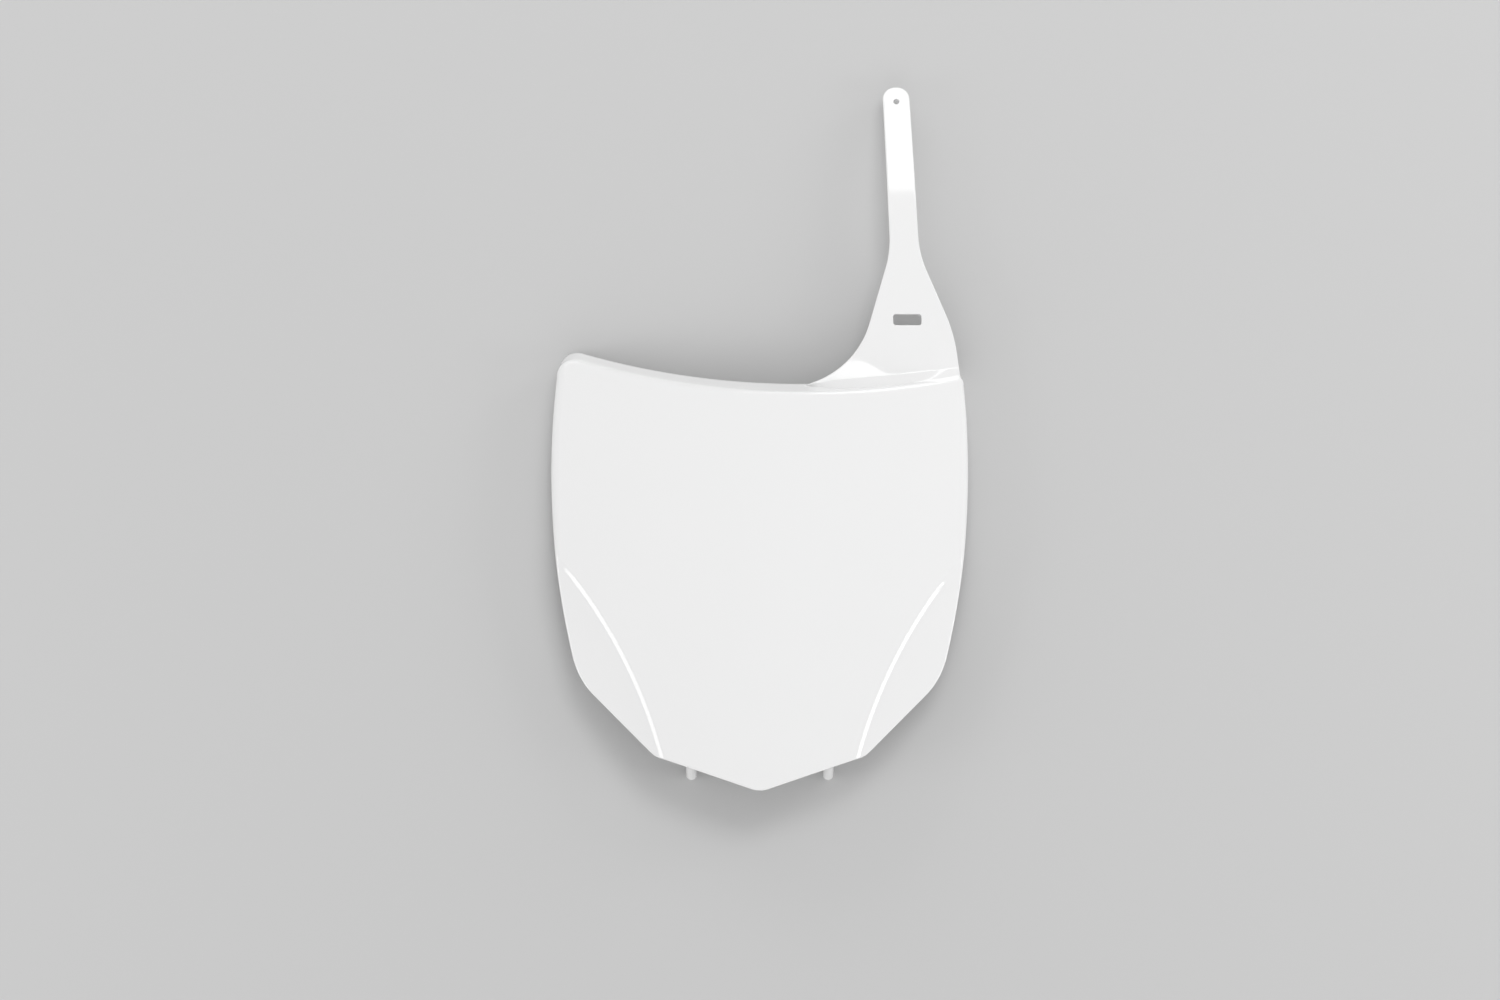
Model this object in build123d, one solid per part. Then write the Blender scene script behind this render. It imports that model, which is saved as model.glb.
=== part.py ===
from build123d import *
import os
from math import asin, atan2, cos, degrees, radians, sin, sqrt, tan

# A motocross front number board: one thin plastic moulding, with a strap that goes round the handlebar.
# It is drawn in its own frame, with x across the board, y up it from the lower tip, and z out of its face,
# where z = 0 is the face's highest point. At the end it is set down on its back, face up.

# Face and wall, in millimetres and degrees throughout
board_width = 235.0
overall_length = 403.3
face_radius_across = 460.0
face_radius_along = 1750.0
face_middle_height = 122.0
wall = 2.5
rim_depth = 16.0
edge_roll = 4.5
roll_lead = 0.03

# Sides and lower edges, seen from the front
side_radius = 465.0
widest_height = 184.0
tip_angle = 18.9
tip_radius = 22.0
knee_half_width = 58.4
knee_radius = 12.0
lower_corner = (99.8, 60.5)
lower_corner_lean = 18.8
lower_corner_radius = 45.0

# The rim behind the sides runs out towards the lower corners
rim_run_out_start = 150.0
rim_run_out_angle = 7.0

# Flared flange along the top: the lowest point and the radius of its edge at the level of z = 0
top_low_point = (32.0, 220.7)
top_radius = 640.0
top_flare = 25.0
top_corner_radius = 11.0
heel_corner_radius = 5.0

# Recessed facets at the two lower corners, each behind one curved step
crease_foot = (53.4, 19.4)
crease_head = (109.1, 126.3)
crease_radius = 290.0
crease_step = 1.3
crease_step_angle = 60.0
crease_round = 2.5
crease_overrun = 4.0
facet_slope = 11.0
facet_hollow_radius = 260.0

# Strap: a flat tongue that leaves the flange right of the middle, flush with the face at the far corner
strap_thickness = 2.8
strap_flush = 105.0
strap_start = (6.0, 225.2)
strap_root = (52.6, 231.5)
strap_root_radius = 52.0
strap_waist_left = (74.0, 305.2)
strap_waist_right = (90.5, 303.9)
strap_waist_radius = 60.0
strap_hip = (110.2, 257.6)
strap_hip_radius = 80.0
strap_heel = (114.5, 224.0)
strap_end_x = 77.9
strap_end_width = 15.2
strap_end_flat = 1.0
strap_bend_start = 312.0
strap_bend_radius = 420.0
strap_straight_end = 18.0

# Slope between the face's top edge and the strap, at some x: how far down the flange it starts, or down the
# face if below zero, and how far behind the edge it comes down to the strap. It bites a little into both
root_stations = [
    (27.0, 12.4, 6.0),
    (45.0, 5.5, 7.9),
    (66.0, 3.3, 8.0),
    (86.0, 2.0, 7.0),
    (102.0, -1.8, 5.6),
    (113.0, -2.7, 4.5),
]
root_bite = 0.25

# Slot for the strap's own end, and the small hole near that end
slot_centre = (83.5, 266.0)
slot_width = 16.0
slot_height = 6.4
slot_corner_radius = 1.6
hole_radius = 1.6
hole_from_end = 8.6

# Pegs on the back, near the lower tip
peg_spacing = 76.4
peg_radius = 3.0
peg_inset = 4.4
peg_slant = 14.0
peg_root_flare = 1.2
peg_root_length = 4.5

# How far drawn regions and cutting shapes run past the board, and the span over which a slope is read
run_past = 60.0
slope_span = 2.0

half_width = board_width / 2
axis_behind = Axis((0, 0, -face_radius_across), (0, 1, 0))


def along_drop(height):
    """How far the face's middle line lies behind its highest point, at a height above the tip."""
    return face_radius_along - sqrt(face_radius_along**2 - (height - face_middle_height) ** 2)


def face_level(x, height):
    """The z of the face at a point seen from the front."""
    return sqrt((face_radius_across - along_drop(height)) ** 2 - x**2) - face_radius_across


def on_face(x, height):
    """The point of the face that is seen at this place from the front."""
    return Vector(x, height, face_level(x, height))


def barrel(depth):
    """Thick block whose front is the face, curved both ways, moved back by depth along its normal."""
    low = -run_past
    high = overall_length
    back = 3 * run_past - face_radius_across
    front = ThreePointArc(
        (low, -along_drop(low) - depth),
        (face_middle_height, -depth),
        (high, -along_drop(high) - depth),
    )
    section = make_face(front + Polyline(front @ 1, (high, back), (low, back), front @ 0))
    half_turn = degrees(asin((half_width + run_past) / face_radius_across))
    return revolve(Plane.YZ * section, axis_behind, 2 * half_turn).rotate(axis_behind, -half_turn)


def upright(region):
    """Straight prism through the whole depth of the board over a region seen from the front."""
    return extrude(Pos(0, 0, -2 * run_past) * region, 3 * run_past)


def between_sides(inset):
    """Prism between the two bowed sides, moved in by inset."""
    bow = Circle(side_radius - inset)
    to_middle = side_radius - half_width
    return upright((Pos(-to_middle, widest_height) * bow) & (Pos(to_middle, widest_height) * bow))


def below_top(inset):
    """Slanting prism below the flared top edge, moved in by inset."""
    flare = tan(radians(top_flare))
    moved_in = inset / cos(radians(top_flare))
    ahead = run_past / 2
    depth = 2 * run_past
    below = Pos(0, -2 * run_past) * Rectangle(8 * run_past, 8 * run_past)
    region = Pos(*top_low_point) * (below - Pos(0, top_radius) * Circle(top_radius + moved_in))
    start = Pos(0, -ahead * flare, ahead) * region
    return extrude(start, depth / cos(radians(top_flare)), dir=(0, flare, -1))


def facet_cutters(grow):
    """The pair of shapes that cut the facets, each made larger by grow on all sides.

    The crease is a circle through three points of the face. A section is turned about the middle of that
    circle: a slanting step at the crease, then a floor that slopes back and slowly levels out.
    """
    foot = on_face(*crease_foot)
    head = on_face(*crease_head)
    half_chord = Vector(head.X - foot.X, head.Y - foot.Y) / 2
    bow = crease_radius - sqrt(crease_radius**2 - half_chord.length**2)
    bow_direction = Vector(-half_chord.Y, half_chord.X).normalized()
    crest_x, crest_y, _ = (foot + head) / 2 + bow_direction * bow
    crest = on_face(crest_x, crest_y)
    face_normal = Vector(
        face_level(crest_x - slope_span / 2, crest_y) - face_level(crest_x + slope_span / 2, crest_y),
        face_level(crest_x, crest_y - slope_span / 2) - face_level(crest_x, crest_y + slope_span / 2),
        slope_span,
    )
    crease = ThreePointArc(foot, crest, head)
    section_plane = Plane(crease.arc_center, x_dir=crest - crease.arc_center, z_dir=head - foot)
    tilt = degrees(atan2(face_normal.dot(section_plane.x_dir), face_normal.dot(section_plane.y_dir)))

    step_slant = tan(radians(crease_step_angle))
    hollow_middle = Vector(-crease_step * step_slant, -crease_step) + facet_hollow_radius * Vector(
        -sin(radians(facet_slope)), cos(radians(facet_slope))
    )
    floor = CenterArc(hollow_middle, facet_hollow_radius, -90, facet_slope)
    far = -3 * run_past
    section = make_face(
        floor
        + Polyline(
            floor @ 1,
            (run_past * step_slant, run_past),
            (far, run_past),
            (far, (floor @ 0).Y),
            floor @ 0,
        )
    )
    if grow:
        section = offset(section, grow, kind=Kind.INTERSECTION)
    section = section_plane * Pos(crease.radius, 0) * Rot(0, 0, -tilt) * section

    turn_axis = Axis(crease.arc_center, section_plane.y_dir)
    half_turn = degrees(asin((head - foot).length / 2 / crease.radius)) + crease_overrun
    cutter = revolve(section, turn_axis, 2 * half_turn).rotate(turn_axis, -half_turn)
    return cutter + mirror(cutter, Plane.YZ)


def creased_face():
    """The barrel with both facets cut out of it, and each crease rounded at its edge and its foot."""
    block = barrel(0) - facet_cutters(0)
    cones = block.faces().filter_by(GeomType.CONE)
    steps = cones.filter_by(lambda f: abs(f.center().X) < half_width)
    crease_edges = [e for step in steps for e in step.edges() if e.length > run_past]
    return fillet(crease_edges, crease_round)


def tray(inset, lead=0):
    """Block of the board's outer form, moved in by inset, with its top corners and front edges rounded.

    Its front may stand ahead of the face by a small lead, so that the rolled edge cuts the face cleanly.
    """
    block = barrel(inset - lead) & between_sides(inset) & below_top(inset)
    upright_edges = block.edges().filter_by(lambda e: abs((e % 0.5).Z) > 0.6)
    corners = upright_edges.filter_by(lambda e: e.center().Y > widest_height)
    left, right = corners.sort_by(Axis.X)
    block = fillet(left, top_corner_radius - inset)
    right = block.edges().sort_by_distance(right.center())[0]
    block = fillet(right, heel_corner_radius - inset)
    front = block.faces().sort_by(Axis.Z)[-1]
    return fillet(front.edges().filter_by(lambda e: e.center().Y > 0), edge_roll - inset)


def tip_line(x):
    """Height of the lower edge beside the tip, before its corners are rounded."""
    sharp_tip = tip_radius * (1 - 1 / cos(radians(tip_angle)))
    return sharp_tip + x * tan(radians(tip_angle))


def within_lower_edge():
    """Prism above the lower edge: a rounded tip, a knee at each facet and a rounded corner at each side."""
    knee = (knee_half_width, tip_line(knee_half_width))
    rise = 2 * run_past
    flank = (lower_corner[0] + rise * tan(radians(lower_corner_lean)), lower_corner[1] + rise)
    half = [knee, lower_corner, flank, (flank[0], overall_length + run_past)]
    other_half = [(-x, y) for x, y in reversed(half)]
    radii = [knee_radius, lower_corner_radius, 0, 0]
    edge = FilletPolyline(
        (0, tip_line(0)), *half, *other_half, radius=[tip_radius, *radii, *reversed(radii)], close=True
    )
    return upright(make_face(edge))


def rim_run_out():
    """Wedge behind the sides that takes the rim away towards the lower corners."""
    start = rim_run_out_start
    rim_radius = face_radius_across - along_drop(start) - rim_depth
    level = sqrt(rim_radius**2 - half_width**2) - face_radius_across
    low = -run_past
    far = level - 2 * run_past
    rise = (start - low) * tan(radians(rim_run_out_angle))
    corners = [(start, level), (low, level + rise), (low, far), (start, far)]
    wedge = make_face(Polyline(*corners, close=True))
    return extrude(Plane.YZ * wedge, half_width + run_past, both=True)


def top_edge(x):
    """The point of the face's top edge at this x, before the edge is rolled."""
    at_zero = top_low_point[1] + top_radius - sqrt(top_radius**2 - (x - top_low_point[0]) ** 2)
    height = at_zero
    for _ in range(4):
        height = at_zero - face_level(x, height) * tan(radians(top_flare))
    return on_face(x, height)


# The strap seen from the side, in the plane of y and z: straight at first, then a gentle bend back
strap_level = top_edge(strap_flush).Z
strap_end_radius = (strap_end_width - strap_end_flat) / 2
bend_reach = sqrt(strap_bend_radius**2 + strap_straight_end**2)
strap_bend = asin((overall_length - strap_bend_start) / bend_reach)
strap_bend = strap_bend - atan2(strap_straight_end, strap_bend_radius)
bend_middle = Vector(strap_bend_start, strap_level - strap_bend_radius)
end_direction = Vector(cos(strap_bend), -sin(strap_bend))
end_normal = Vector(sin(strap_bend), cos(strap_bend))


def strap():
    """Flat tongue of even thickness, cut to its outline and trimmed where it goes into the flange."""
    bend = degrees(strap_bend)
    front_turn = CenterArc(bend_middle, strap_bend_radius, 90, -bend)
    back_turn = CenterArc(bend_middle, strap_bend_radius - strap_thickness, 90, -bend)
    to_end = end_direction * (strap_straight_end + run_past)
    inside = Vector(face_middle_height - strap_bend_start, 0)
    profile = make_face(
        front_turn
        + back_turn
        + Polyline(front_turn @ 0, front_turn @ 0 + inside, back_turn @ 0 + inside, back_turn @ 0)
        + Polyline(front_turn @ 1, front_turn @ 1 + to_end, back_turn @ 1 + to_end, back_turn @ 1)
    )
    tongue = extrude(Plane.YZ * profile, half_width + run_past, both=True)
    outline = FilletPolyline(
        (strap_start[0], face_middle_height),
        strap_start,
        strap_root,
        strap_waist_left,
        (strap_end_x - strap_end_width / 2, overall_length),
        (strap_end_x + strap_end_width / 2, overall_length),
        strap_waist_right,
        strap_hip,
        strap_heel,
        (strap_heel[0], face_middle_height),
        radius=[
            0,
            0,
            strap_root_radius,
            strap_waist_radius,
            strap_end_radius,
            strap_end_radius,
            strap_waist_radius,
            strap_hip_radius,
            0,
            0,
        ],
        close=True,
    )
    return (tongue & upright(make_face(outline))) - below_top(wall)


def root_slope():
    """Slope from the flange down to the strap, steep on the left and almost level at the right corner."""
    lean = radians(top_flare)
    sections = []
    for x, down, reach in root_stations:
        edge = top_edge(x)
        on_flange = edge + Vector(0, sin(lean), -cos(lean)) * down
        on_edge = on_flange if down > 0 else on_face(x, edge.Y + down)
        start = on_edge - Vector(0, root_bite, root_bite)
        end = Vector(x, edge.Y + reach, strap_level)
        end = end + (end - start).normalized() * root_bite
        inside_level = min(strap_level, edge.Z) - strap_thickness / 2
        in_wall = (edge.Z - inside_level) * tan(lean) - wall / 2
        inside = Vector(x, edge.Y + in_wall, inside_level)
        sections.append(make_face(Polyline(start, end, inside, start)))
    return loft(sections, ruled=True)


def strap_hole():
    """Drill for the small hole, square to the strap's straight end and on the strap's middle line."""
    from_bend = (end_direction * strap_straight_end).X - hole_from_end
    middle = bend_middle + end_normal * strap_bend_radius + end_direction * (from_bend / end_direction.X)
    waist_x = (strap_waist_left[0] + strap_waist_right[0]) / 2
    waist_y = (strap_waist_left[1] + strap_waist_right[1]) / 2
    x = strap_end_x + (waist_x - strap_end_x) * hole_from_end / (overall_length - waist_y)
    axis = Plane((x, middle.X, middle.Y), x_dir=(1, 0, 0), z_dir=(0, end_normal.X, end_normal.Y))
    return axis * Cylinder(hole_radius, 4 * strap_thickness)


def slot():
    """Cutter for the slot through the strap's broad lower part."""
    return upright(Pos(*slot_centre) * RectangleRounded(slot_width, slot_height, slot_corner_radius))


def peg(side, rest_level):
    """Round peg with a conical root and a domed end, from inside the sheet to the board's rest level."""
    x = side * peg_spacing / 2
    y = tip_line(peg_spacing / 2) + peg_inset / cos(radians(tip_angle))
    start = on_face(x, y) - Vector(0, 0, wall / 2)
    direction = Vector(0, -sin(radians(peg_slant)), -cos(radians(peg_slant)))
    length = (start.Z - rest_level - peg_radius) / cos(radians(peg_slant))
    from_start = (Align.CENTER, Align.CENTER, Align.MIN)
    shank = Cylinder(peg_radius, length, align=from_start)
    root = Cone(peg_radius + peg_root_flare, peg_radius, peg_root_length, align=from_start)
    return Plane(start, z_dir=direction) * (shank + root + Pos(0, 0, length) * Sphere(peg_radius))


shell = (tray(0, roll_lead) & creased_face()) - barrel(rim_depth) - (tray(wall) - facet_cutters(wall))
board = (shell & within_lower_edge()) - rim_run_out()
board = board + strap() + root_slope() - slot() - strap_hole()
rest_level = board.bounding_box().min.Z
board = board + peg(-1, rest_level) + peg(1, rest_level)
board = Pos(0, -overall_length / 2, -rest_level) * board

os.makedirs("parts", exist_ok=True)
export_step(board, "parts/number_board.step")
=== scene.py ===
import bmesh
import bpy
import numpy as np
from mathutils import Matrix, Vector


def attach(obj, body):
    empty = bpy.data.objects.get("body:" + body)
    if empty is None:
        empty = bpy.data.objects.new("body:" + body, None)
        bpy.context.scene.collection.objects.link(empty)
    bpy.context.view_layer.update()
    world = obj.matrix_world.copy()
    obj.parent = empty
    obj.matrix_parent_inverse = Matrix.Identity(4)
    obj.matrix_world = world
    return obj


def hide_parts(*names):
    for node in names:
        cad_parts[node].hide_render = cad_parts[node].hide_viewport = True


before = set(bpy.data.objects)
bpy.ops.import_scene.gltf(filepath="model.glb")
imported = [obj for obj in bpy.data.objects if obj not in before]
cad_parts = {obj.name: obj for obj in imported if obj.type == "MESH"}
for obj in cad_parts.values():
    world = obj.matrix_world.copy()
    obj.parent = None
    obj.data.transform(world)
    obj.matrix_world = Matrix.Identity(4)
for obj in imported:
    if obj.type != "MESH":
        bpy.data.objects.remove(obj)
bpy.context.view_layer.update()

# The shield is a thin sheet of white polypropylene, moulded with a bow both ways like a shallow barrel. A
# facet is sunk into each lower corner behind a soft curved crease. Lengths are in millimetres, x across the
# board, y up it from the lower tip and z out of its face. The finished mesh is set down on its back.
bow_across = 460.0
bow_along = 1750.0
bow_middle = 122.0
wall = 2.5
crease_foot = np.array([53.4, 19.4])
crease_head = np.array([109.1, 126.3])
crease_radius = 290.0
crease_step = 1.3
crease_slope = np.radians(30.0)
crease_round = 2.5
facet_slope = np.radians(11.0)
facet_hollow = 260.0
head_fade = 0.7
head_fade_run = 11.0
head_fade_start = {-1: 115.5, 1: 109.0}

half_chord = (crease_head - crease_foot) / 2
half_length = np.hypot(*half_chord)
outwards = np.array([half_chord[1], -half_chord[0]]) / half_length
crease_middle = crease_foot + half_chord + outwards * np.sqrt(crease_radius**2 - half_length**2)
crest_run = crease_round * np.tan(crease_slope / 2)
step_run = crease_step / np.tan(crease_slope)
foot_run = crease_round * np.tan((crease_slope - facet_slope) / 2)
foot_start = step_run - foot_run * np.cos(crease_slope)


def ease(low, high, value):
    """Goes from 0 at low to 1 at high along a smooth cubic, level at both ends."""
    share = np.clip((value - low) / (high - low), 0, 1)
    return share * share * (3 - 2 * share)


def facet_drop(past):
    """Depth of a facet at a distance past its crease.

    A round crest turns from level to the step's slope, a straight slant follows, a round foot turns back to
    the floor's slope, and the floor is a wide arc that slowly levels out.
    """
    crest = crease_round - np.sqrt(np.maximum(crease_round**2 - (past + crest_run) ** 2, 0))
    slant = past * np.tan(crease_slope)
    foot_middle = foot_start + crease_round * np.sin(crease_slope)
    foot_level = foot_start * np.tan(crease_slope) - crease_round * np.cos(crease_slope)
    foot = foot_level + np.sqrt(np.maximum(crease_round**2 - (past - foot_middle) ** 2, 0))
    sine = np.maximum(np.sin(facet_slope) - (np.maximum(past, 0) - step_run) / facet_hollow, 0)
    floor_drop = crease_step + facet_hollow * (np.sqrt(1 - sine**2) - np.cos(facet_slope))
    zones = [
        past < -crest_run,
        past < crease_round * np.sin(crease_slope) - crest_run,
        past < foot_start,
        past < step_run + foot_run * np.cos(facet_slope),
    ]
    return np.select(zones, [np.zeros_like(past), crest, slant, foot], floor_drop)


def barrel_level(x, y, depth):
    """Height of the barrel: an arc across the board, its radius less another arc's drop along the board."""
    sink = bow_along - np.sqrt(bow_along**2 - (y - bow_middle) ** 2)
    return np.sqrt((bow_across - sink - depth) ** 2 - x**2) - bow_across


def past_crease(x, y):
    """How far a point lies past the nearer crease: the crease's radius less the distance from its middle."""
    return crease_radius - np.hypot(np.abs(x) - crease_middle[0], y - crease_middle[1])


def sheet_level(x, y, depth):
    """Height of the sheet's front, or of the surface a depth behind it: the barrel less the facet's depth.

    Towards the head of each crease the step runs out into a plain slant at the floor's slope.
    """
    past = past_crease(x, y) + depth * np.tan(crease_slope / 2)
    drop = facet_drop(past)
    gentle = np.maximum(past, 0) * np.tan(facet_slope)
    fade_start = np.where(x > 0, head_fade_start[1], head_fade_start[-1])
    fade = head_fade * ease(0, head_fade_run, y - fade_start)
    return barrel_level(x, y, depth) - drop - fade * (gentle - drop)


# The outline of the shield from the front: a rounded tip, a knee and a corner on each side, bowed sides, and
# a hollow top edge that flares out as it goes back, with a rounded corner at each end. Where a value has one
# number for each side, -1 is the left and 1 the right.
half_width = 117.5
side_radius = 465.0
widest = 184.0
tip_slope = np.tan(np.radians(18.9))
tip_radius = 15.0
tip_start = -1.25
knee_x = 58.4
knee_radius = 12.0
lower_corner = (99.8, 60.5)
lower_radius = 45.0
flank_rise = 60.0
flank_slope = np.tan(np.radians(18.8))
top_low = (32.0, 220.7)
top_radius = 640.0
flare = np.tan(np.radians(25.0))
corner_radius = {-1: 11.0, 1: 5.0}
arc_points = 61
edge_spacing = 0.25
corner_count = 39
side_count = 519
top_count = 700

knee = (knee_x, tip_start + knee_x * tip_slope)
flank = (lower_corner[0] + flank_rise * flank_slope, lower_corner[1] + flank_rise)


def rounded_path(corners, radii, spacing):
    """Even points along straight runs, each inner corner replaced by an arc that touches both runs."""
    corners = np.array(corners)
    radii = np.array(radii)[:, None]
    before = corners[:-2] - corners[1:-1]
    before = before / np.linalg.norm(before, axis=1, keepdims=True)
    after = corners[2:] - corners[1:-1]
    after = after / np.linalg.norm(after, axis=1, keepdims=True)
    half_angle = np.arccos(np.sum(before * after, axis=1, keepdims=True)) / 2
    inward = (before + after) / (2 * np.cos(half_angle))
    forward = (after - before) / (2 * np.sin(half_angle))
    middles = corners[1:-1] + inward * radii / np.sin(half_angle)
    turn = (np.linspace(-1, 1, arc_points) * (np.pi / 2 - half_angle))[:, :, None]
    arms = forward[:, None] * np.sin(turn) - inward[:, None] * np.cos(turn)
    arcs = middles[:, None] + radii[:, None] * arms
    points = np.vstack([corners[:1], arcs.reshape(-1, 2), corners[-1:]])
    length = np.append(0, np.cumsum(np.linalg.norm(np.diff(points, axis=0), axis=1)))
    even = np.linspace(0, length[-1], int(length[-1] / spacing))
    return np.column_stack([np.interp(even, length, points[:, c]) for c in (0, 1)])


def side_at(y, inset):
    """How far the bowed side lies from the middle line at a height: an arc about the widest place.

    An inset moves the side in by making the arc's radius smaller.
    """
    return np.sqrt((side_radius - inset) ** 2 - (y - widest) ** 2) - (side_radius - half_width)


low_corners = [(-knee[0], knee[1]), (0, tip_start), knee, lower_corner, flank]
right_edge = rounded_path(low_corners, [tip_radius, knee_radius, lower_radius], edge_spacing)
right_edge = right_edge[(right_edge[:, 0] >= 0) & (right_edge[:, 0] < side_at(right_edge[:, 1], 0))]
low_edge = np.vstack([right_edge[::-1] * (-1, 1), right_edge])
low_along = np.gradient(low_edge, axis=0)
low_out = np.column_stack([low_along[:, 1], -low_along[:, 0]])
low_out = low_out / np.linalg.norm(low_out, axis=1, keepdims=True)
side_start = low_edge[-1, 1]

up_side = np.linspace(0, 1, side_count + 1)
half_corner = np.linspace(0, 0.5, corner_count + 1)
along_top = np.linspace(0, 1, top_count)
loop_parts = np.cumsum(
    [corner_count, side_count, len(low_edge), side_count, corner_count, corner_count, top_count]
)
loop_size = loop_parts[-1] + corner_count


def outline(level, inset):
    """The shield's outline at given levels, moved in by insets, from the left top corner round by the tip.

    Each top corner is an arc that touches the bowed side and the top arc, which moves up the board as it
    goes back. The sides run from the lower edge to that corner, and the top runs between the two corners.
    """
    level = np.broadcast_to(level, loop_size)
    inset = np.broadcast_to(inset, loop_size)
    left, down, low, up, right, over, top, last = np.split(np.arange(loop_size), loop_parts)

    def corner(side, at):
        """Middle of the corner arc on a side, and the angles at which it touches the side and the top."""
        from_side = side_radius - corner_radius[side]
        from_top = top_radius + inset[at] * np.hypot(1, flare) + corner_radius[side] - inset[at]
        side_x = half_width - side_radius
        step_x = side * top_low[0] - side_x
        step_y = top_low[1] + top_radius - level[at] * flare - widest
        gap = np.hypot(step_x, step_y)
        along = (from_side**2 - from_top**2 + gap**2) / (2 * gap)
        off = np.sqrt(from_side**2 - along**2)
        x = side_x + (along * step_x + off * step_y) / gap
        y = widest + (along * step_y - off * step_x) / gap
        start = np.arctan2(y - widest, x - side_x)
        end = np.arctan2(step_y + widest - y, step_x + side_x - x)
        return x, y, start, end

    def on_corner(side, at, turn):
        """Points of a corner arc, turn going from 0 at the side to 1 at the top."""
        x, y, start, end = corner(side, at)
        angle = start + turn * (end - start)
        reach = corner_radius[side] - inset[at]
        return np.column_stack([side * (x + reach * np.cos(angle)), y + reach * np.sin(angle)])

    def on_side(side, at, share):
        """Points of a bowed side, share going from 0 at the lower edge to 1 at the top corner."""
        start = corner(side, at)[2]
        high = widest + (side_radius - inset[at]) * np.sin(start)
        y = side_start + share * (high - side_start)
        return np.column_stack([side * side_at(y, inset[at]), y])

    right_x, _, _, right_end = corner(1, top)
    left_x, _, _, left_end = corner(-1, top)
    right_x = right_x + (corner_radius[1] - inset[top]) * np.cos(right_end)
    left_x = -left_x - (corner_radius[-1] - inset[top]) * np.cos(left_end)
    x = right_x + along_top * (left_x - right_x)
    radius = top_radius + inset[top] * np.hypot(1, flare)
    y = top_low[1] + top_radius - level[top] * flare - np.sqrt(radius**2 - (x - top_low[0]) ** 2)
    return np.vstack(
        [
            on_corner(-1, left, half_corner[:0:-1]),
            on_side(-1, down, up_side[:0:-1]),
            low_edge - low_out * inset[low, None],
            on_side(1, up, up_side[1:]),
            on_corner(1, right, half_corner[1:]),
            on_corner(1, over, half_corner[1:] + 0.5),
            np.column_stack([x, y]),
            on_corner(-1, last, half_corner[:0:-1] + 0.5),
        ]
    )


def settle(surface, inset):
    """The outline where it meets a surface.

    It starts at level zero and takes the surface's height along the outline as the next level, eight times.
    """
    level = np.zeros(loop_size)
    for _ in range(8):
        level = surface(*outline(level, inset).T)
    return np.column_stack([outline(level, inset), level])


# The edge of the shield: the sides and the top are moulded over into a rim sixteen millimetres deep. On the
# right of the top a soft brow leads to a crisp bend, and the other rolls are plain and round. The rim runs
# out towards the lower corners, so the knees and the tip end in a cut edge with its sharpness taken off.
rim_depth = 16.0
rim_fade = (52.0, 73.0)
thin_rim = 3.0
run_out_start = 150.0
run_out_rise = np.tan(np.radians(7.0))
cut_round = 0.8
cut_inset = 1.2
lip_round = 0.8
inner_round = 2.0
inner_round_rim = 2.1
facet_roll = 1.5
facet_roll_range = (48.0, 75.0)
side_roll = 7.0
side_roll_range = (116.0, 160.0)
heel_roll = 4.5
heel_range = (190.0, 214.0)
top_roll = 4.5
top_facing = (0.2, 0.9)
crisp_roll = 1.6
crisp_range = (-40.0, 20.0)
brow_radius = 8.0
brow_range = (10.0, 60.0)
brow_angle = np.radians(17.0)
lean_drop = 4.0
lip_share = 0.4
wall_share = 0.1
roll_rows = 16
wall_rows = 5
quarters = (0.25, 0.5, 0.75, 1)

edge = settle(lambda x, y: sheet_level(x, y, 0), 0)
along_edge = np.roll(edge, -1, axis=0) - np.roll(edge, 1, axis=0)
out_x, out_y = np.array([along_edge[:, 1], -along_edge[:, 0]]) / np.hypot(along_edge[:, 0], along_edge[:, 1])
outward = np.column_stack([out_x, out_y])
edge_x = edge[:, 0]
edge_y = edge[:, 1]
roll = cut_round + (facet_roll - cut_round) * ease(*facet_roll_range, edge_y)
roll = roll + (side_roll - facet_roll) * ease(*side_roll_range, edge_y)
on_top = ease(*top_facing, out_y)
near_heel = ease(*heel_range, edge_y) * (edge_x > 0)
roll = roll + (heel_roll - roll) * near_heel
along_roll = top_roll + (crisp_roll - top_roll) * ease(*crisp_range, edge_x)
roll = roll + (along_roll - roll) * on_top
brow = roll + (brow_radius - roll) * on_top * ease(*brow_range, edge_x)

inside = edge[:, :2] - outward
sheet_angle = np.arctan(sheet_level(*inside.T, 0) - edge[:, 2])
lean = np.sum((outline(edge[:, 2] - lean_drop, 0) - edge[:, :2]) * outward, axis=1) / lean_drop
wall_angle = np.pi / 2 - np.arctan(lean)
brow_end = np.maximum(brow_angle, sheet_angle)


def roll_steps(turn):
    """How far out and down the rolled edge has gone at a turn: along the brow's arc, then the roll's."""
    angle = sheet_angle + turn * (wall_angle - sheet_angle)
    first = np.minimum(angle, brow_end)
    out = brow * (np.sin(first) - np.sin(sheet_angle)) + roll * (np.sin(angle) - np.sin(first))
    down = brow * (np.cos(sheet_angle) - np.cos(first)) + roll * (np.cos(first) - np.cos(angle))
    return out, down


whole_out, whole_down = roll_steps(1)
bend_sine = np.sin(wall_angle - sheet_angle)
sheet_run = (whole_out * np.sin(wall_angle) - whole_down * np.cos(wall_angle)) / bend_sine
wall_run = (whole_down * np.cos(sheet_angle) - whole_out * np.sin(sheet_angle)) / bend_sine
roll_start = edge[:, :2] - outward * (sheet_run * np.cos(sheet_angle))[:, None]
start_level = sheet_level(*roll_start.T, 0)


def roll_line(turn):
    """A line along the rolled edge, at one share of the turn from the sheet's slope to the wall's."""
    out, down = roll_steps(turn)
    return np.column_stack([roll_start + outward * out[:, None], start_level - down])


def corner_line(start, corner, end, share):
    """A line along a rounded corner: a quadratic curve from start to end, leaving both towards the corner."""
    return start * (1 - share) ** 2 + corner * 2 * share * (1 - share) + end * share**2


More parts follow.
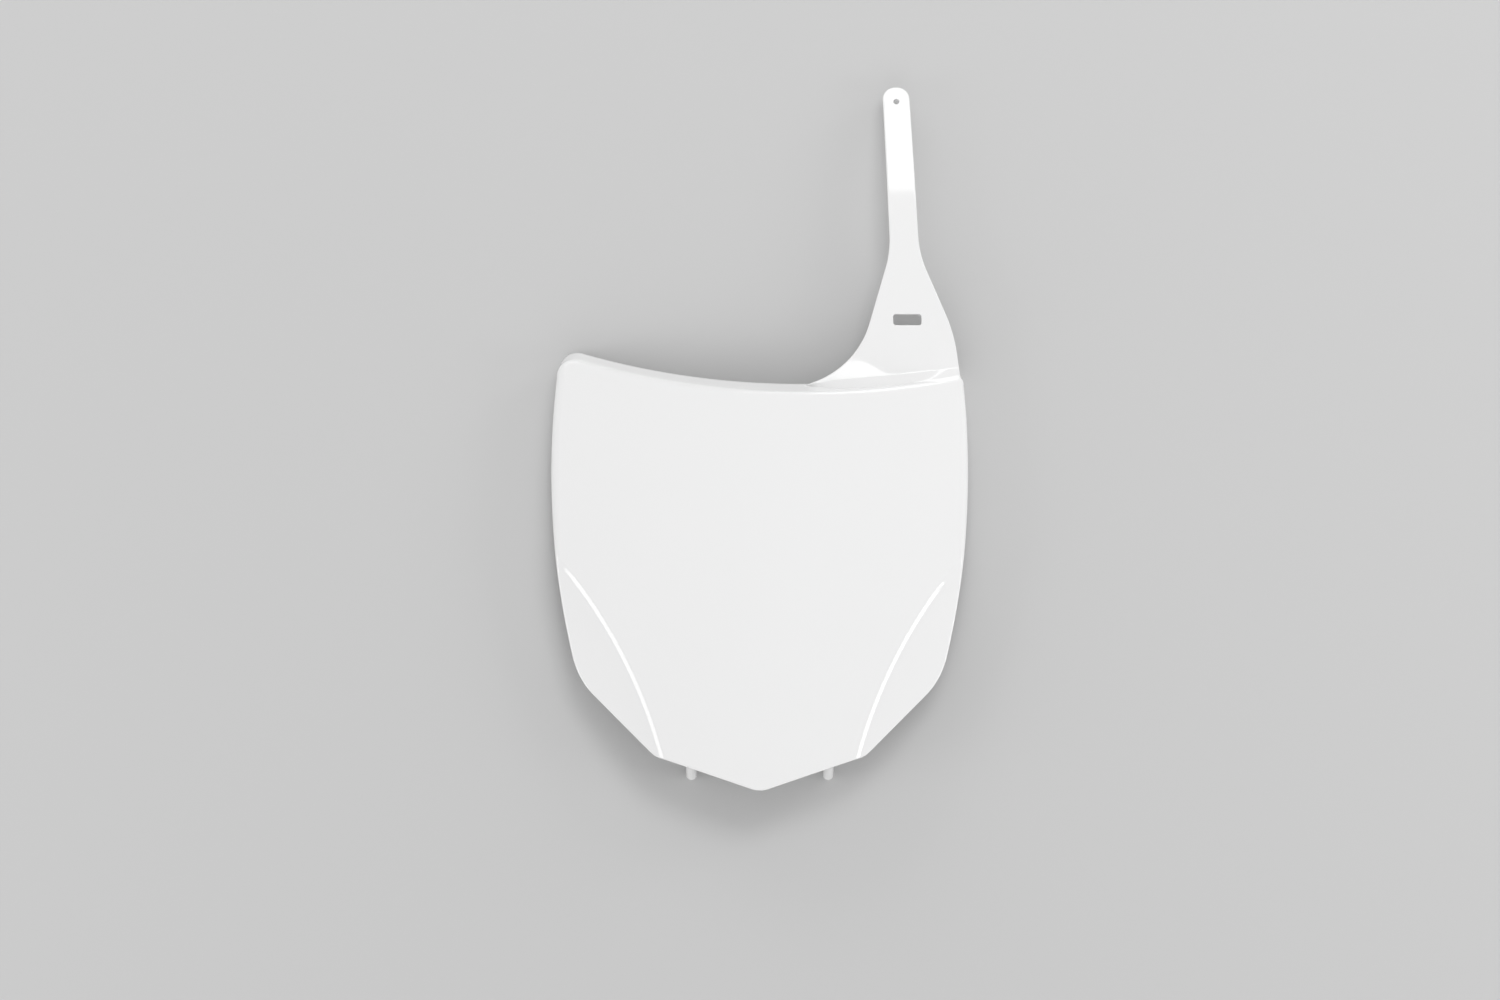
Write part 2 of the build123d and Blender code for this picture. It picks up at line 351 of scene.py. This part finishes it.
back_edge = sheet_level(edge_x, edge_y, wall)
rim_end = settle(lambda x, y: barrel_level(x, y, rim_depth), 0)
run_out_level = barrel_level(half_width, run_out_start, rim_depth)
run_out_level = run_out_level + (run_out_start - rim_end[:, 1]) * run_out_rise
rim_level = np.where(rim_end[:, 1] < run_out_start, np.maximum(rim_end[:, 2], run_out_level), rim_end[:, 2])
rim_height = np.maximum(back_edge - rim_level, 0) * ease(*rim_fade, edge_y)
rim_share = ease(0, thin_rim, rim_height)
rear = back_edge - rim_height

wall_top = edge[:, 2] - wall_run * np.sin(wall_angle)
wall_foot = rear + lip_round
lip_out = np.column_stack([outline(rear, 0), rear])
lip_in = outline(rear, lip_round + (wall - lip_round) * rim_share)
lip_level = rear + sheet_level(*lip_in.T, wall) - sheet_level(*lip_out[:, :2].T, wall)
lip_in = np.column_stack([lip_in, lip_level])
bend_inset = cut_inset + (wall - cut_inset) * rim_share
bend = settle(lambda x, y: sheet_level(x, y, wall), bend_inset)
back_start = settle(lambda x, y: sheet_level(x, y, wall), inner_round + inner_round_rim * rim_share)
wall_end = bend[:, 2] - np.minimum(inner_round, rim_height / 2)
wall_end = np.column_stack([outline(wall_end, bend_inset), wall_end])


def wall_line(share):
    """A line along the outer wall, from the roll's end down to the lip."""
    level = wall_top + share * (wall_foot - wall_top)
    return np.column_stack([outline(level, 0), level])


near_lip = lip_out + lip_share * (lip_in - lip_out)
far_lip = lip_out + (1 - lip_share) * (lip_in - lip_out)
up_wall = lip_in + wall_share * (wall_end - lip_in)
front_lines = [roll_line(turn) for turn in np.arange(roll_rows) / roll_rows]
front_lines = front_lines + [wall_line(share) for share in np.arange(wall_rows + 1) / wall_rows]
lip_start = front_lines[-1]
front_lines = front_lines + [corner_line(lip_start, lip_out, near_lip, share) for share in quarters]
back_lines = [far_lip] + [corner_line(far_lip, lip_in, up_wall, share) for share in quarters]
back_lines = back_lines + [up_wall + share * (wall_end - up_wall) for share in (0.5, 1)]
back_lines = back_lines + [corner_line(wall_end, bend, back_start, share) for share in quarters]

loop_length = np.append(0, np.cumsum(np.linalg.norm(np.diff(edge, axis=0, append=edge[:1]), axis=1)))


def along_loop(line, places):
    """Points of a closed line at given lengths along the shield's edge."""
    closed = np.vstack([line, line[:1]])
    return np.column_stack([np.interp(places, loop_length, closed[:, c]) for c in (0, 1, 2)])


crest_rows = 8
foot_rows = 6
floor_rows = 26
crease_columns = 80
side_columns = 70
tip_columns = 100
crest_turn = np.linspace(0, crease_slope, crest_rows)
foot_turn = np.linspace(crease_slope, facet_slope, foot_rows)
step_rows = np.concatenate(
    [
        crease_round * np.sin(crest_turn) - crest_run,
        [foot_start / 2],
        foot_start + crease_round * (np.sin(crease_slope) - np.sin(foot_turn)),
    ]
)
patches = []


def sheet_patches(line, depth):
    """One side of the sheet, up to a line round it. Returns the places where its grids meet that line.

    Each facet is a fan of arcs about the middle of its crease, at growing distances past the crease, each
    cut off by the line. The shield between the creases is stretched over its four sides: each point is the
    sum of the straight joins across and along, less the blend of the four corners, and lies on the sheet.
    """
    distance = past_crease(line[:, 0], line[:, 1])
    distance = np.append(distance, distance[0])
    tip = np.argmin(line[:, 1])
    poles = [np.argmax(distance[:tip]), tip + np.argmax(distance[tip:])]
    heads = [np.argmin(distance[: poles[0]]), poles[1] + np.argmin(distance[poles[1] : loop_parts[3]])]
    last = min(distance[poles[0]], distance[poles[1]])
    rows = step_rows - depth * np.tan(crease_slope / 2)
    shares = 1 - np.linspace(1, 0, floor_rows) ** 2
    rows = np.concatenate([rows, rows[-1] + shares[1:] * (last - rows[-1])])

    def crossings(start, end):
        """Places where the line comes to each row's distance, between two points of the line."""
        order = np.argsort(distance[start:end])
        return np.interp(rows, distance[start:end][order], loop_length[start:end][order])

    upper = [crossings(heads[0], poles[0] + 1), crossings(poles[1], heads[1])]
    lower = [crossings(poles[0], tip), crossings(tip, poles[1] + 1)]
    places = [
        np.linspace(0, upper[0][0], side_columns + 1),
        upper[0],
        lower[0][::-1],
        np.linspace(lower[0][0], lower[1][0], tip_columns + 1),
        lower[1],
        upper[1][::-1],
        np.linspace(upper[1][0], loop_length[loop_parts[4]], side_columns + 1),
        np.linspace(loop_length[loop_parts[4]], loop_length[-1], tip_columns + 1),
    ]
    creases = []
    share = np.linspace(0, 1, crease_columns + 1)
    for side, low, high in ((-1, lower[0], upper[0]), (1, lower[1], upper[1])):
        ends = np.array([along_loop(line, low)[:, :2], along_loop(line, high)[:, :2]])
        arms = ends * (side, 1) - crease_middle
        reach = np.hypot(arms[..., 0], arms[..., 1])[..., None]
        angle = (np.arctan2(arms[..., 1], arms[..., 0]) % (2 * np.pi))[..., None]
        reach = reach[0] + share * (reach[1] - reach[0])
        angle = angle[0] + share * (angle[1] - angle[0])
        x = side * (crease_middle[0] + reach * np.cos(angle))
        y = crease_middle[1] + reach * np.sin(angle)
        patches.append(np.stack([x, y, sheet_level(x, y, depth)], axis=-1))
        creases.append(np.stack([x[0], y[0]], axis=-1))

    left = np.vstack([creases[0], along_loop(line, places[0][::-1])[1:, :2]])
    right = np.vstack([creases[1], along_loop(line, places[6])[1:, :2]])
    low = along_loop(line, places[3])[:, :2]
    high = along_loop(line, places[7][::-1])[:, :2]
    climb = np.append(0, np.cumsum(np.linalg.norm(np.diff(left + right * (-1, 1), axis=0), axis=1)))
    v = (climb / climb[-1])[:, None, None]
    u = np.linspace(0, 1, tip_columns + 1)[None, :, None]
    across = (1 - u) * left[:, None] + u * right[:, None]
    along = (1 - v) * low[None] + v * high[None]
    corners = (1 - u) * ((1 - v) * low[0] + v * high[0]) + u * ((1 - v) * low[-1] + v * high[-1])
    x, y = np.moveaxis(across + along - corners, -1, 0)
    patches.append(np.stack([x, y, sheet_level(x, y, depth)], axis=-1))
    return np.concatenate([part[:-1] for part in places])


front_places = sheet_patches(front_lines[0], 0.0)
back_places = sheet_patches(back_lines[-1], wall)
band = [along_loop(line, front_places) for line in front_lines]
band = np.array(band + [along_loop(line, back_places) for line in back_lines])
patches.append(np.concatenate([band, band[:, :1]], axis=1))

# The strap is a flat tongue of the same plastic, moulded onto the flange on the right. It narrows to a
# ribbon that bends back, with a slot in its broad part and a small hole at its end. A soft hollow joins it
# to the flange on the left, and a slope with a soft brow on the right.
strap_thickness = 2.8
strap_round = 0.8
strap_flush = 105.0
bend_start = 312.0
bend_radius = 420.0
strap_tip = 403.3
straight_end = 18.0
end_sides = (70.3, 85.5)
strap_corners = [
    (6.0, 225.2),
    (52.6, 231.5),
    (74.0, 305.2),
    (end_sides[0], strap_tip),
    (end_sides[1], strap_tip),
    (90.5, 303.9),
    (110.2, 257.6),
    (114.5, 224.0),
    (114.5, 200.0),
]
strap_radii = [52.0, 60.0, 7.1, 7.1, 60.0, 80.0, 60.0]
strap_spacing = 0.15
slot_middle = (83.5, 266.0)
slot_half = (8.0, 3.2)
slot_corner = 1.6
hole_x = 78.3
hole_from_end = 8.8
hole_radius = 1.6
hole_round = 0.5

bend_angle = np.arcsin((strap_tip - bend_start) / np.hypot(bend_radius, straight_end))
bend_angle = bend_angle - np.arctan2(straight_end, bend_radius)
bend_run = bend_radius * np.sin(bend_angle)
end_middle = (end_sides[0] + end_sides[1]) / 2
strap_edge = rounded_path(strap_corners, strap_radii, strap_spacing)
strap_along = np.gradient(strap_edge, axis=0)
strap_out = np.column_stack([-strap_along[:, 1], strap_along[:, 0]])
strap_out = strap_out / np.linalg.norm(strap_out, axis=1, keepdims=True)
strap_inside = strap_edge - strap_round * strap_out
strap_places = np.arange(len(strap_edge))
strap_top = np.argmax(strap_edge[:, 1] - np.abs(strap_edge[:, 0] - end_middle) / 1000)


def top_edge(x):
    """Height up the board and level of the shield's top edge: the top arc, moved up by the flare there."""
    arc = top_low[1] + top_radius - np.sqrt(top_radius**2 - (x - top_low[0]) ** 2)
    y = arc
    for _ in range(4):
        y = arc - barrel_level(x, y, 0) * flare
    return y, barrel_level(x, y, 0)


strap_level = top_edge(strap_flush)[1]
root_x = [27.0, 45.0, 66.0, 86.0, 102.0, 113.0]
root_down = [12.4, 5.5, 3.3, 2.0, -1.8, -2.7]
root_behind = [6.0, 7.9, 8.0, 7.0, 5.6, 4.5]
scoop_angle = np.radians(14.0)
scoop_least = 0.4
scoop_middle = 1.1
scoop_middle_range = (104.0, 92.0)
scoop_left = 19.0
scoop_left_range = (76.0, 54.0)
follow_top = 260.0
follow_round = 0.6
follow_run = 42.0


def root_start(x):
    """Where the slope to the strap starts: a length down the flange from its edge, or back down the face."""
    y, level = top_edge(x)
    down = np.interp(x, root_x, root_down)
    lean = np.hypot(1, flare)
    face_y = y + np.minimum(down, 0)
    face_drop = barrel_level(x, face_y, 0) - level
    return face_y + np.maximum(down, 0) * flare / lean, level + face_drop - np.maximum(down, 0) / lean


def root_line(x):
    """Height up the board where the slope comes down to the strap: a length behind the top edge."""
    return top_edge(x)[0] + np.interp(x, root_x, root_behind)


def scoop_reach(x):
    """How far the strap's root is scooped: wide on the left, thin from the strap's middle on."""
    middle = scoop_middle * ease(*scoop_middle_range, x)
    return scoop_least + middle + scoop_left * ease(*scoop_left_range, x)


def strap_front(x, y):
    """Height of the strap's front: level, then an arc back, then straight on.

    At the root it is scooped up towards the flange along an arc, and past the place where it is flush with
    the face it follows the face down, which fades out up the strap.
    """
    past = np.clip(y - bend_start, 0, bend_run)
    beyond = np.maximum(y - bend_start - bend_run, 0)
    plain = strap_level - bend_radius + np.sqrt(bend_radius**2 - past**2) - beyond * np.tan(bend_angle)
    over = barrel_level(x, np.minimum(y, follow_top), 0) - strap_level
    follow = (over - np.sqrt(over**2 + follow_round**2)) / 2
    follow = follow * (1 - ease(0, follow_run, y - root_line(x)))
    scoop = scoop_reach(x)
    scoop_radius = scoop / np.sin(scoop_angle)
    short = np.clip(root_line(x) + scoop - y, 0, scoop)
    return plain + follow + scoop_radius - np.sqrt(scoop_radius**2 - short**2)


rows_start = 230.0
rows_level = 258.0
root_tuck = 0.8
nearly_quarter_turn = 1.57
first_gaps = np.array([0.25, 0.7, 1.3])
slope_count = 25
broad_count = 30
opening_count = 17
ribbon_count = 70
end_count = 13
slope_rows = np.linspace(0, 1, slope_count)
slot_low = slot_middle[1] - slot_half[1] - hole_round
slot_high = slot_middle[1] + slot_half[1] + hole_round
hole_y = strap_tip - hole_from_end
hole_reach = hole_radius + hole_round
above_hole = strap_tip - strap_round - hole_y - hole_reach
swing = np.sin(np.linspace(-np.pi / 2, np.pi / 2, opening_count))
flat_rows = np.concatenate(
    [
        rows_start + first_gaps[:2],
        np.linspace(rows_start + first_gaps[2], slot_low, broad_count)[:-1],
        slot_middle[1] + (slot_half[1] + hole_round) * swing,
        np.linspace(slot_high, hole_y - hole_reach, ribbon_count)[1:-1],
        hole_y + hole_reach * swing,
        hole_y + hole_reach + above_hole * np.sin(np.linspace(0, nearly_quarter_turn, end_count))[1:],
    ]
)
row_count = 1 + len(slope_rows) + len(flat_rows)


def strap_rows(x):
    """Heights up the board of all the strap's rows, at one x for each column of the result.

    The first row is tucked into the flange, the next ones share out the slope, and the rest start along the
    slope's end and turn level on the way to the slot.
    """
    low = root_start(x)[0]
    high = root_line(x)
    slope = low + slope_rows[:, None] * (high - low)
    keep = 1 - ease(rows_start, rows_level, flat_rows)[:, None]
    level_rows = flat_rows[:, None] + keep * (high - rows_start)
    return np.vstack([low[None] - root_tuck, slope, level_rows])


def row_ends(start, end):
    """Places along the strap's inside line where each row ends, between two points of that line."""
    part = strap_inside[start:end]
    above = part[None, :, 1] > strap_rows(part[:, 0])
    if above[-1, 0]:
        above = ~above
    first = np.argmax(above, axis=1).clip(1)
    rise = part[None, :, 1] - strap_rows(part[:, 0])
    rows = np.arange(row_count)
    share = rise[rows, first - 1] / (rise[rows, first - 1] - rise[rows, first])
    return start + first - 1 + np.clip(share, 0, 1)


def at_place(line, places):
    """Points of a line at given counts along it, with fractions."""
    return np.column_stack([np.interp(places, strap_places, line[:, c]) for c in (0, 1)])


# The strap's front and back are grids of rows across it. Each row is split in three, and its middle part is
# as wide as the slot or the hole where the row crosses one, so that the opening can be left out.
ribbon = (290.0, 380.0)
ribbon_split = 3.0
end_split = 0.2
hair = 0.001
third = 16

left_places = row_ends(0, strap_top + 1)
right_places = row_ends(strap_top, len(strap_edge))
left_ends = at_place(strap_inside, left_places)[:, 0]
right_ends = at_place(strap_inside, right_places)[:, 0]
row_middle = np.concatenate([np.full(row_count - len(flat_rows), rows_start), flat_rows])
from_slot = np.abs(row_middle - slot_middle[1])
slot_turn = slot_corner + hole_round
past_turn = np.maximum(from_slot - slot_half[1] - hole_round + slot_turn, 0)
slot_reach = slot_half[0] + hole_round - slot_turn + np.sqrt(np.maximum(slot_turn**2 - past_turn**2, 0))
hole_width = np.sqrt(np.maximum(hole_reach**2 - (row_middle - hole_y) ** 2, 0))
slot_straight = slot_half[0] - slot_corner
plain_reach = np.interp(
    row_middle,
    [rows_start, slot_high, *ribbon, hole_y - hole_reach, hole_y + hole_reach, strap_tip],
    [slot_straight, slot_straight, ribbon_split, ribbon_split, 0, 0, end_split],
)
in_slot = (row_middle > slot_low - hair) & (row_middle < slot_high + hair)
in_hole = np.abs(row_middle - hole_y) < hole_reach + hair
split = np.select([in_slot, in_hole], [slot_reach, hole_width], plain_reach)
middle_x = np.interp(row_middle, [slot_middle[1], hole_y, strap_tip], [slot_middle[0], hole_x, end_middle])
stations = np.column_stack([left_ends, middle_x - split, middle_x + split, right_ends])
columns = np.linspace(0, 1, third + 1)
strap_x = np.hstack(
    [
        stations[:, :1] + (stations[:, 1:2] - stations[:, :1]) * columns[:-1],
        stations[:, 1:2] + (stations[:, 2:3] - stations[:, 1:2]) * columns,
        stations[:, 2:3] + (stations[:, 3:] - stations[:, 2:3]) * columns[1:],
    ]
)
strap_y = np.array([strap_rows(row)[k] for k, row in enumerate(strap_x)])

# The slope from the flange down to the strap: a soft brow that grows towards the heel on the right, then a
# level run, then a steep run. Left of the middle it is one plain slant.
heel_brow_reach = 3.4
heel_brow_fall = 0.2
heel_brow_range = (80.0, 116.0)
level_range = (92.0, 106.0)
steep_fall = 0.62
least_steep_run = 0.3
least_brow_run = 0.01
back_clear = 20.0
back_join = 262.0

slope_start, slope_level = root_start(strap_x)
slope_end = root_line(strap_x)
slope_run = slope_end - slope_start
past_start = np.clip(strap_y - slope_start, 0, slope_run)
on_strap = strap_front(strap_x, np.maximum(strap_y, slope_end))
slope_drop = slope_level - on_strap
brow_run = heel_brow_reach * ease(*heel_brow_range, strap_x)
brow_drop = np.minimum(heel_brow_fall * brow_run, np.maximum(slope_drop, 0))
steep_drop = slope_drop - brow_drop
level_run = np.maximum(slope_run - brow_run - steep_drop / steep_fall, 0) * ease(*level_range, strap_x)
steep_run = np.maximum(slope_run - brow_run - level_run, least_steep_run)
fallen = brow_drop * np.clip(past_start / np.maximum(brow_run, least_brow_run), 0, 1)
fallen = fallen + steep_drop * np.clip((past_start - slope_run + steep_run) / steep_run, 0, 1)
strap_z = np.where(strap_y < slope_end, slope_level - fallen, on_strap)
strap_z[0] = strap_z[0] - root_tuck
thickness = strap_thickness / np.sqrt(1 - (np.clip(strap_y - bend_start, 0, bend_run) / bend_radius) ** 2)
front = np.stack([strap_x, strap_y, strap_z], axis=-1)
back_level = np.minimum(strap_front(strap_x, np.maximum(strap_y, slope_end + back_clear)), strap_level)
back_level = np.where(strap_y > back_join, strap_z, back_level)
back = np.stack([strap_x, strap_y, back_level - thickness], axis=-1)

slot_rows = np.flatnonzero(in_slot)
hole_rows = np.flatnonzero(in_hole)
for sheet in (front, back):
    patches.extend([sheet[:, : third + 1], sheet[:, 2 * third :]])
    inner = sheet[:, third : 2 * third + 1]
    patches.append(inner[: slot_rows[0] + 1])
    patches.append(inner[slot_rows[-1] : hole_rows[0] + 1])
    patches.append(inner[hole_rows[-1] :])


def edge_band(front_line, back_line, outward, reach):
    """A rounded edge between two lines one behind the other: quarter round, straight wall, quarter round."""
    step = np.column_stack([outward * reach, np.zeros(len(outward))])
    down = np.array([0, 0, reach])
    shares = (0, 0.2, 0.4, 0.6, 0.8, 1)
    first = [corner_line(front_line, front_line + step, front_line + step - down, share) for share in shares]
    second = [corner_line(back_line + step + down, back_line + step, back_line, share) for share in shares]
    return np.array(first + second)


end_places = np.linspace(left_places[-1], right_places[-1], strap_x.shape[1])[1:-1]
rim_places = np.concatenate([left_places, end_places, right_places[::-1]])
rim_out = at_place(strap_out, rim_places)
rim_front = np.vstack([front[:, 0], front[-1, 1:-1], front[::-1, -1]])
rim_back = np.vstack([back[:, 0], back[-1, 1:-1], back[::-1, -1]])
patches.append(edge_band(rim_front, rim_back, rim_out, strap_round))
patches.append(np.array([front[0], back[0]]))
for rows in (slot_rows, hole_rows):
    first, end = rows[0], rows[-1]
    rings = []
    for sheet in (front, back):
        inner = sheet[:, third : 2 * third + 1]
        ring = [inner[first, :-1], inner[first:end, -1], inner[end, :0:-1], inner[end:first:-1, 0]]
        ring = np.vstack(ring)
        keep = np.linalg.norm(ring - np.roll(ring, 1, axis=0), axis=1) > hair / 10
        rings.append(ring[keep])
    along = np.roll(rings[0], -1, axis=0) - np.roll(rings[0], 1, axis=0)
    inward = np.column_stack([-along[:, 1], along[:, 0]]) / np.hypot(along[:, 0], along[:, 1])[:, None]
    ring_band = edge_band(rings[0], rings[1], inward, hole_round)
    patches.append(np.concatenate([ring_band, ring_band[:, :1]], axis=1))

# Two round pegs stand on the back beside the tip and reach down to the level the board rests on. They are
# moulded with the sheet in the same plastic, each with a conical root and a domed end.
peg_half_spacing = 38.2
peg_radius = 3.0
peg_inset = 4.4
peg_slant = np.radians(14.0)
peg_root_wide = 1.2
peg_shoulder = 4.05
peg_shoulder_wide = 0.1
peg_dome_gap = 0.2
peg_middle_wide = 0.01
peg_sides = 32
shaft_rows = 6
dome_rows = 10

rest_level = min(patch[..., 2].min() for patch in patches)
peg_start_y = tip_start + peg_half_spacing * tip_slope + peg_inset * np.hypot(1, tip_slope)
peg_start_z = barrel_level(peg_half_spacing, peg_start_y, 0) - wall / 2
peg_length = (peg_start_z - rest_level - peg_radius) / np.cos(peg_slant)
dome = np.linspace(0, np.pi / 2, dome_rows)
peg_shaft = np.linspace(peg_shoulder, peg_length - peg_dome_gap, shaft_rows)
peg_along = np.concatenate([[0, 0], peg_shaft, peg_length + peg_radius * np.sin(dome)])
peg_wide = np.concatenate(
    [
        [peg_middle_wide, peg_radius + peg_root_wide, peg_radius + peg_shoulder_wide],
        np.full(shaft_rows - 1, peg_radius),
        peg_radius * np.cos(dome),
    ]
)
turn = np.linspace(0, 2 * np.pi, peg_sides + 1)
ring_x = peg_wide[:, None] * np.cos(turn)
ring_y = peg_wide[:, None] * np.sin(turn)
deep = peg_along[:, None] + 0 * turn
for side in (-1, 1):
    x = side * peg_half_spacing + ring_x
    y = peg_start_y + ring_y * np.cos(peg_slant) - deep * np.sin(peg_slant)
    z = peg_start_z - ring_y * np.sin(peg_slant) - deep * np.cos(peg_slant)
    patches.append(np.stack([x, y, z], axis=-1))

# The finished moulding is one piece in gloss white polypropylene, straight from the mould. Its skin has the
# faint unevenness of a polished mould, in tone, in polish and in a slight ripple.
weld_distance = 0.000004
sliver = 0.000001

vertices = np.vstack([patch.reshape(-1, 3) for patch in patches])
vertices = (vertices - (0, strap_tip / 2, rest_level)) / 1000
faces = []
first = 0
for patch in patches:
    rows, cols = patch.shape[:2]
    number = first + np.arange(rows * cols).reshape(rows, cols)
    quads = np.stack([number[:-1, :-1], number[:-1, 1:], number[1:, 1:], number[1:, :-1]], axis=-1)
    faces.append(quads.reshape(-1, 4))
    first = first + rows * cols
mesh = bpy.data.meshes.new("moulding")
mesh.from_pydata(vertices, [], np.vstack(faces))
welded = bmesh.new()
welded.from_mesh(mesh)
bmesh.ops.remove_doubles(welded, verts=welded.verts, dist=weld_distance)
bmesh.ops.dissolve_degenerate(welded, edges=welded.edges, dist=sliver)
bmesh.ops.recalc_face_normals(welded, faces=welded.faces)
welded.to_mesh(mesh)
welded.free()
mesh.shade_smooth()
moulding = bpy.data.objects.new("moulding", mesh)
bpy.context.scene.collection.objects.link(moulding)

plastic = bpy.data.materials.new("white_plastic")
plastic.use_nodes = True
nodes = plastic.node_tree.nodes
links = plastic.node_tree.links
shader = nodes["Principled BSDF"]
shader.inputs["IOR"].default_value = 1.5
place = nodes.new("ShaderNodeTexCoord")
flow = nodes.new("ShaderNodeTexNoise")
flow.inputs["Scale"].default_value = 14.0
flow.inputs["Detail"].default_value = 3.0
tone = nodes.new("ShaderNodeMix")
tone.data_type = "RGBA"
tone.inputs["A"].default_value = (0.852, 0.852, 0.852, 1.0)
tone.inputs["B"].default_value = (0.868, 0.868, 0.868, 1.0)
grain = nodes.new("ShaderNodeTexNoise")
grain.inputs["Scale"].default_value = 120.0
grain.inputs["Detail"].default_value = 4.0
polish = nodes.new("ShaderNodeMapRange")
polish.inputs["From Min"].default_value = 0.3
polish.inputs["From Max"].default_value = 0.7
polish.inputs["To Min"].default_value = 0.06
polish.inputs["To Max"].default_value = 0.10
ripple = nodes.new("ShaderNodeBump")
ripple.inputs["Strength"].default_value = 0.05
ripple.inputs["Distance"].default_value = 0.0002
links.new(place.outputs["Object"], flow.inputs["Vector"])
links.new(place.outputs["Object"], grain.inputs["Vector"])
links.new(flow.outputs["Fac"], tone.inputs["Factor"])
links.new(tone.outputs["Result"], shader.inputs["Base Color"])
links.new(grain.outputs["Fac"], polish.inputs["Value"])
links.new(polish.outputs["Result"], shader.inputs["Roughness"])
links.new(grain.outputs["Fac"], ripple.inputs["Height"])
links.new(ripple.outputs["Normal"], shader.inputs["Normal"])
mesh.materials.append(plastic)
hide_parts("number_board")
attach(moulding, "root")

# The floor is a wide sheet of plain pale grey paper, quite matt, on which the board lies face up. It belongs
# to the picture only and reaches past everything the camera sees.
reach = 12.0
floor_corners = [(-reach, -reach, 0), (reach, -reach, 0), (reach, reach, 0), (-reach, reach, 0)]
floor_mesh = bpy.data.meshes.new("floor")
floor_mesh.from_pydata(floor_corners, [], [(0, 1, 2, 3)])
floor = bpy.data.objects.new("floor", floor_mesh)
bpy.context.scene.collection.objects.link(floor)
paper = bpy.data.materials.new("floor")
paper.use_nodes = True
paper_shader = paper.node_tree.nodes["Principled BSDF"]
paper_shader.inputs["Base Color"].default_value = (0.58, 0.58, 0.58, 1.0)
paper_shader.inputs["Roughness"].default_value = 0.9
floor.data.materials.append(paper)


# The light is a pale dome, brightest overhead, with six softboxes. The strap and the top edge mirror the high
# key on the upper right, and the creases mirror the low ones on the left and right. The lamp behind and the
# top one lift the strap's side and the flange, and the broad fill in front lights the pegs and the floor.
def softbox(name, place, aim, width, height, watts):
    """A rectangular lamp of that size at a place, turned to face the aim point."""
    lamp = bpy.data.lights.new(name, "AREA")
    lamp.shape = "RECTANGLE"
    lamp.size = width
    lamp.size_y = height
    lamp.energy = watts
    holder = bpy.data.objects.new(name, lamp)
    holder.location = place
    holder.rotation_euler = (Vector(aim) - Vector(place)).to_track_quat("-Z", "Y").to_euler()
    bpy.context.scene.collection.objects.link(holder)


softbox("key", (0.585, 1.29, 1.80), (0.585, 1.29, 0.0), 1.29, 0.94, 14.8)
softbox("right", (1.465, -0.385, 0.53), (0.0, 0.0, 0.0), 0.42, 0.4, 3.0)
softbox("left", (-1.46, -0.44, 0.51), (0.0, 0.0, 0.0), 0.5, 0.6, 4.4)
softbox("behind", (2.76, 1.60, 1.02), (0.0, 0.0, 0.0), 1.0, 1.2, 14.0)
softbox("top", (-0.9, 1.50, 0.6), (0.0, 0.0, 0.0), 1.2, 0.6, 5.5)
softbox("fill", (0.32, -2.4, 1.28), (0.0, 0.0, 0.0), 3.84, 1.92, 23.0)
world = bpy.data.worlds.new("surround")
world.use_nodes = True
sky = world.node_tree.nodes
direction = sky.new("ShaderNodeTexCoord")
height = sky.new("ShaderNodeSeparateXYZ")
fade = sky.new("ShaderNodeMapRange")
fade.inputs["From Min"].default_value = 0.0
fade.inputs["From Max"].default_value = 1.0
fade.inputs["To Min"].default_value = 0.53
fade.inputs["To Max"].default_value = 0.59
world.node_tree.links.new(direction.outputs["Generated"], height.inputs["Vector"])
world.node_tree.links.new(height.outputs["Z"], fade.inputs["Value"])
world.node_tree.links.new(fade.outputs["Result"], sky["Background"].inputs["Strength"])
sky["Background"].inputs["Color"].default_value = (1.0, 1.0, 1.0, 1.0)
bpy.context.scene.world = world

# The camera looks almost straight down on the face, from 8 degrees towards the board's point. It stands two
# metres away, with a long lens.
camera_place = Vector((-0.00547, -0.31545, 1.9886))
camera_aim = Vector((-0.00547, -0.04265, 0.0476))
lens = bpy.data.cameras.new("camera")
lens.sensor_width = 36.0
lens.lens = 85.05
camera = bpy.data.objects.new("camera", lens)
camera.location = camera_place
camera.rotation_euler = (camera_aim - camera_place).to_track_quat("-Z", "Y").to_euler()
bpy.context.scene.collection.objects.link(camera)
bpy.context.scene.camera = camera
bpy.context.scene.view_settings.view_transform = "Standard"
